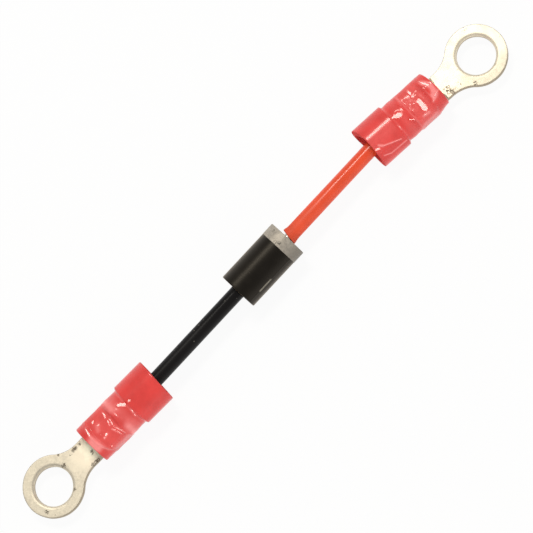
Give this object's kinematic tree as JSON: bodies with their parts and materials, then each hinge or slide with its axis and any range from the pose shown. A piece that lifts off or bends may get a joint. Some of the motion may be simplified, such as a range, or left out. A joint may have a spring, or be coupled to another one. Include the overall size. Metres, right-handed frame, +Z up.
{
  "type": "rectifier diode lead with ring terminals",
  "caption": "Axial moulded rectifier diode with a cathode band, sleeved stiff leads and crimped vinyl-insulated ring terminals for clamping across two studs.",
  "frame": {"origin": "midway between the two stud holes, on the surface that the part lies on", "axes": "+X along the body towards the cathode end, +Z up and along the stud holes"},
  "size_m": [0.0836, 0.01, 0.0058],
  "materials": {
    "black_epoxy": "semi-matte moulded epoxy",
    "silver_ink": "mottled silver ink",
    "tinned_wire": "bright tin plate",
    "silicon": "polished chip",
    "solder": "dull solder",
    "red_tubing": "glossy tubing",
    "black_tubing": "satin tubing",
    "tinned_copper": "brushed tin plate",
    "red_vinyl": "glossy vinyl"
  },
  "bodies": {
    "root": {"diode_body": "black_epoxy", "cathode_band": "silver_ink", "cathode_lead": "tinned_wire", "anode_lead": "tinned_wire", "silicon_die": "silicon", "cathode_solder": "solder", "anode_solder": "solder", "cathode_sleeve": "red_tubing", "anode_sleeve": "black_tubing", "cathode_terminal": "tinned_copper", "anode_terminal": "tinned_copper", "cathode_insulator": "red_vinyl", "anode_insulator": "red_vinyl"}
  },
  "joints": []
}
